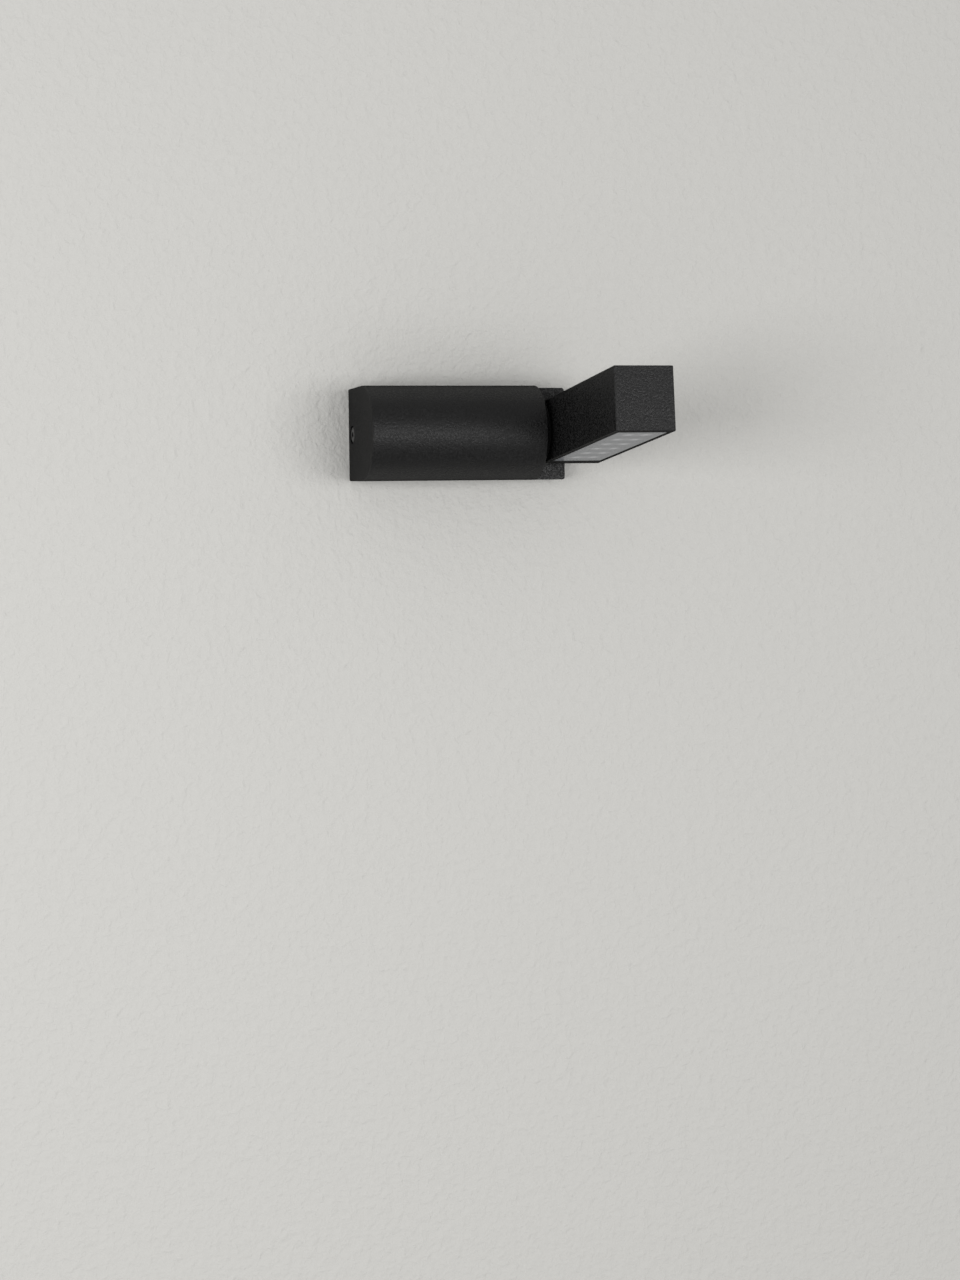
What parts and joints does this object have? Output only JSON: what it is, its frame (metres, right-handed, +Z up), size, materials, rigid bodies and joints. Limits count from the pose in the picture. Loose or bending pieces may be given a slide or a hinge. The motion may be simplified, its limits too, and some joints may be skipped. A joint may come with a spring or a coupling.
{
  "type": "pivoting spotlight wall light",
  "caption": "Wall light with a half-round base and a long box-shaped LED head that tilts up and down on a horizontal shaft.",
  "frame": {"origin": "centre of the wall plate's back face, on the wall", "axes": "+X right along the base towards the head, +Y into the wall, +Z up; the lamp stands out along -Y"},
  "size_m": [0.1297, 0.1583, 0.054],
  "materials": {
    "powder_black": "fine textured black powder coat",
    "screw_black": "black oxide",
    "zinc_steel": "zinc plated",
    "spring_steel": "blued",
    "bare_aluminium": "milled",
    "rubber_black": "matt",
    "bush_bronze": "turned",
    "washer_polymer": "moulded",
    "lens_opal": "frosted polycarbonate",
    "optic_clear": "clear moulded acrylic",
    "board_white": "white solder mask",
    "chip_yellow": "phosphor",
    "pad_grey": "thermal pad",
    "driver_white": "moulded case",
    "terminal_white": "moulded",
    "lead_grey": "silicone insulation"
  },
  "bodies": {
    "base": {"wall_gasket": "rubber_black", "wall_plate": "zinc_steel", "base_housing": "powder_black", "end_screw": "screw_black", "cable_grommet": "rubber_black", "terminal_block": "terminal_white", "terminal_screws": "zinc_steel", "terminal_rivet": "bare_aluminium", "earth_screw": "bush_bronze", "earth_washer": "zinc_steel", "led_driver": "driver_white", "driver_screws": "zinc_steel", "pivot_hub": "powder_black", "pivot_bush": "bush_bronze", "stop_pin": "zinc_steel", "driver_lead": "lead_grey", "mains_leads": "lead_grey"},
    "head": {"pivot_collar": "powder_black", "pivot_seal": "rubber_black", "friction_washer": "washer_polymer", "pivot_shaft": "bare_aluminium", "thrust_washer": "zinc_steel", "disc_spring": "spring_steel", "shaft_nut": "zinc_steel", "flange_screws": "zinc_steel", "head_housing": "powder_black", "cover_lens": "lens_opal", "lens_gasket": "rubber_black", "led_optics": "optic_clear", "led_chips": "chip_yellow", "led_board": "board_white", "heat_pad": "pad_grey", "heat_spreader": "bare_aluminium", "board_screws": "zinc_steel", "board_connector": "driver_white", "head_lead": "lead_grey"}
  },
  "joints": [
    {"name": "head_tilt", "type": "hinge", "parent": "base", "child": "head", "pos_m": [0.0562, -0.031, 0], "axis": [-1, 0, 0], "range_deg": [-95.8, 84.2]}
  ]
}
